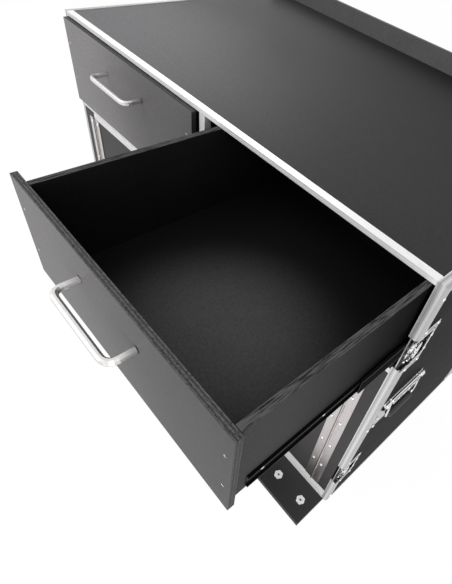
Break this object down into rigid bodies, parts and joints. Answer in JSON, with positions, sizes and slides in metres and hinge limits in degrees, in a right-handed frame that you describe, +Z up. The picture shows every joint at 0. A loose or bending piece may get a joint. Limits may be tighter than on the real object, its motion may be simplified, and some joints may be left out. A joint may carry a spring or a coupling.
{
  "type": "coffee bar flight case",
  "caption": "Wheeled black coffee bar flight case with a worktop, pull-out drawers with bow handles, hinged cupboard doors, recessed turn latches and spring handles.",
  "frame": {"origin": "centre of the bounding box on the floor, under the wheels", "axes": "+X to the case's right as seen from the front, +Y to the back, +Z up; the drawers open towards -Y"},
  "size_m": [1.2352, 1.1608, 1.111],
  "materials": {
    "black_laminate": "fine-textured black laminate on birch plywood",
    "grey_laminate": "textured dark grey laminate on plywood",
    "drawer_laminate": "satin grey laminate with dark plywood edges",
    "stained_ply": "black-stained plywood with streaky grain",
    "aluminium_trim": "satin anodised extrusion",
    "zinc_plate": "bright zinc plate",
    "handle_steel": "brushed stainless tube",
    "hinge_steel": "rolled bright steel",
    "slide_black": "black zinc",
    "grip_rubber": "ribbed black grip on a plated wire bail",
    "wheel_rubber": "grey-black moulded tread"
  },
  "bodies": {
    "case": {"base_board": "stained_ply", "worktop": "black_laminate", "worktop_trim": "aluminium_trim", "front_rail": "aluminium_trim", "bottom_trim": "aluminium_trim", "divider_panel": "black_laminate", "back_panel": "black_laminate", "rear_cover": "grey_laminate", "side_panel_right": "black_laminate", "side_frame_right": "aluminium_trim", "right_hinge_stile": "black_laminate", "right_hinge_fixed_leaf": "hinge_steel", "right_slide_outer_case": "slide_black", "right_slide_inner_case": "slide_black", "right_upper_latch_dish": "zinc_plate", "right_lower_latch_dish": "zinc_plate", "right_side_handle_plate": "zinc_plate", "side_panel_left": "black_laminate", "side_frame_left": "aluminium_trim", "left_hinge_stile": "black_laminate", "left_hinge_fixed_leaf": "hinge_steel", "left_slide_outer_case": "slide_black", "left_slide_inner_case": "slide_black", "left_upper_latch_dish": "zinc_plate", "left_lower_latch_dish": "zinc_plate", "left_side_handle_plate": "zinc_plate"},
    "right_drawer": {"right_drawer_front": "drawer_laminate", "right_drawer_box": "stained_ply", "right_drawer_handle": "handle_steel", "right_slide_outer_drawer": "slide_black", "right_slide_inner_drawer": "slide_black"},
    "right_slide_middle": {"right_slide_outer_middle": "slide_black", "right_slide_inner_middle": "slide_black"},
    "right_door": {"right_door": "black_laminate", "right_hinge_moving_leaf": "hinge_steel", "right_door_handle": "handle_steel"},
    "right_upper_latch": {"right_upper_latch_wing": "zinc_plate"},
    "right_lower_latch": {"right_lower_latch_wing": "zinc_plate"},
    "right_side_bail": {"right_side_handle_bail": "grip_rubber"},
    "front_right_caster_fork": {"front_right_caster_fork": "zinc_plate"},
    "front_right_caster_wheel": {"front_right_caster_wheel": "wheel_rubber"},
    "rear_right_caster_fork": {"rear_right_caster_fork": "zinc_plate"},
    "rear_right_caster_wheel": {"rear_right_caster_wheel": "wheel_rubber"},
    "left_drawer": {"left_drawer_front": "drawer_laminate", "left_drawer_box": "stained_ply", "left_drawer_handle": "handle_steel", "left_slide_outer_drawer": "slide_black", "left_slide_inner_drawer": "slide_black"},
    "left_slide_middle": {"left_slide_outer_middle": "slide_black", "left_slide_inner_middle": "slide_black"},
    "left_door": {"left_door": "black_laminate", "left_hinge_moving_leaf": "hinge_steel", "left_door_handle": "handle_steel"},
    "left_upper_latch": {"left_upper_latch_wing": "zinc_plate"},
    "left_lower_latch": {"left_lower_latch_wing": "zinc_plate"},
    "left_side_bail": {"left_side_handle_bail": "grip_rubber"},
    "front_left_caster_fork": {"front_left_caster_fork": "zinc_plate"},
    "front_left_caster_wheel": {"front_left_caster_wheel": "wheel_rubber"},
    "rear_left_caster_fork": {"rear_left_caster_fork": "zinc_plate"},
    "rear_left_caster_wheel": {"rear_left_caster_wheel": "wheel_rubber"}
  },
  "joints": [
    {"name": "right_drawer_slide", "type": "slide", "parent": "case", "child": "right_drawer", "axis": [0, -1, 0], "range_m": [-0.36, 0.14]},
    {"name": "right_slide_middle_slide", "type": "slide", "parent": "case", "child": "right_slide_middle", "axis": [0, -1, 0], "range_m": [-0.18, 0.07]},
    {"name": "right_door_hinge", "type": "hinge", "parent": "case", "child": "right_door", "pos_m": [0.53, -0.1626, 0.4946], "axis": [0, 0, 1], "range_deg": [0, 110]},
    {"name": "right_upper_latch_turn", "type": "hinge", "parent": "case", "child": "right_upper_latch", "pos_m": [0.5925, -0.1316, 0.8805], "axis": [1, 0, 0], "range_deg": [0, 180]},
    {"name": "right_lower_latch_turn", "type": "hinge", "parent": "case", "child": "right_lower_latch", "pos_m": [0.5925, -0.1316, 0.331], "axis": [1, 0, 0], "range_deg": [0, 180]},
    {"name": "right_side_bail_swing", "type": "hinge", "parent": "case", "child": "right_side_bail", "pos_m": [0.6046, -0.0686, 0.689], "axis": [0, -1, 0], "range_deg": [0, 90]},
    {"name": "front_right_caster_swivel", "type": "hinge", "parent": "case", "child": "front_right_caster_fork", "pos_m": [0.501, -0.1716, 0.111], "axis": [0, 0, 1], "continuous": true},
    {"name": "front_right_caster_roll", "type": "hinge", "parent": "front_right_caster_fork", "child": "front_right_caster_wheel", "pos_m": [0.501, -0.1376, 0.05], "axis": [1, 0, 0], "continuous": true},
    {"name": "rear_right_caster_swivel", "type": "hinge", "parent": "case", "child": "rear_right_caster_fork", "pos_m": [0.501, 0.4904, 0.111], "axis": [0, 0, 1], "continuous": true},
    {"name": "rear_right_caster_roll", "type": "hinge", "parent": "rear_right_caster_fork", "child": "rear_right_caster_wheel", "pos_m": [0.501, 0.5244, 0.05], "axis": [1, 0, 0], "continuous": true},
    {"name": "left_drawer_slide", "type": "slide", "parent": "case", "child": "left_drawer", "axis": [0, -1, 0], "range_m": [0, 0.5]},
    {"name": "left_slide_middle_slide", "type": "slide", "parent": "case", "child": "left_slide_middle", "axis": [0, -1, 0], "range_m": [0, 0.25]},
    {"name": "left_door_hinge", "type": "hinge", "parent": "case", "child": "left_door", "pos_m": [-0.53, -0.1626, 0.4946], "axis": [0, 0, -1], "range_deg": [0, 110]},
    {"name": "left_upper_latch_turn", "type": "hinge", "parent": "case", "child": "left_upper_latch", "pos_m": [-0.5925, -0.1316, 0.8805], "axis": [-1, 0, 0], "range_deg": [0, 180]},
    {"name": "left_lower_latch_turn", "type": "hinge", "parent": "case", "child": "left_lower_latch", "pos_m": [-0.5925, -0.1316, 0.331], "axis": [-1, 0, 0], "range_deg": [0, 180]},
    {"name": "left_side_bail_swing", "type": "hinge", "parent": "case", "child": "left_side_bail", "pos_m": [-0.6046, -0.0686, 0.689], "axis": [0, 1, 0], "range_deg": [0, 90]},
    {"name": "front_left_caster_swivel", "type": "hinge", "parent": "case", "child": "front_left_caster_fork", "pos_m": [-0.501, -0.1716, 0.111], "axis": [0, 0, 1], "continuous": true},
    {"name": "front_left_caster_roll", "type": "hinge", "parent": "front_left_caster_fork", "child": "front_left_caster_wheel", "pos_m": [-0.501, -0.1376, 0.05], "axis": [1, 0, 0], "continuous": true},
    {"name": "rear_left_caster_swivel", "type": "hinge", "parent": "case", "child": "rear_left_caster_fork", "pos_m": [-0.501, 0.4904, 0.111], "axis": [0, 0, 1], "continuous": true},
    {"name": "rear_left_caster_roll", "type": "hinge", "parent": "rear_left_caster_fork", "child": "rear_left_caster_wheel", "pos_m": [-0.501, 0.5244, 0.05], "axis": [1, 0, 0], "continuous": true}
  ],
  "couplings": [
    {"joint": "right_slide_middle_slide", "follows": "right_drawer_slide", "ratio": 0.5},
    {"joint": "left_slide_middle_slide", "follows": "left_drawer_slide", "ratio": 0.5}
  ]
}
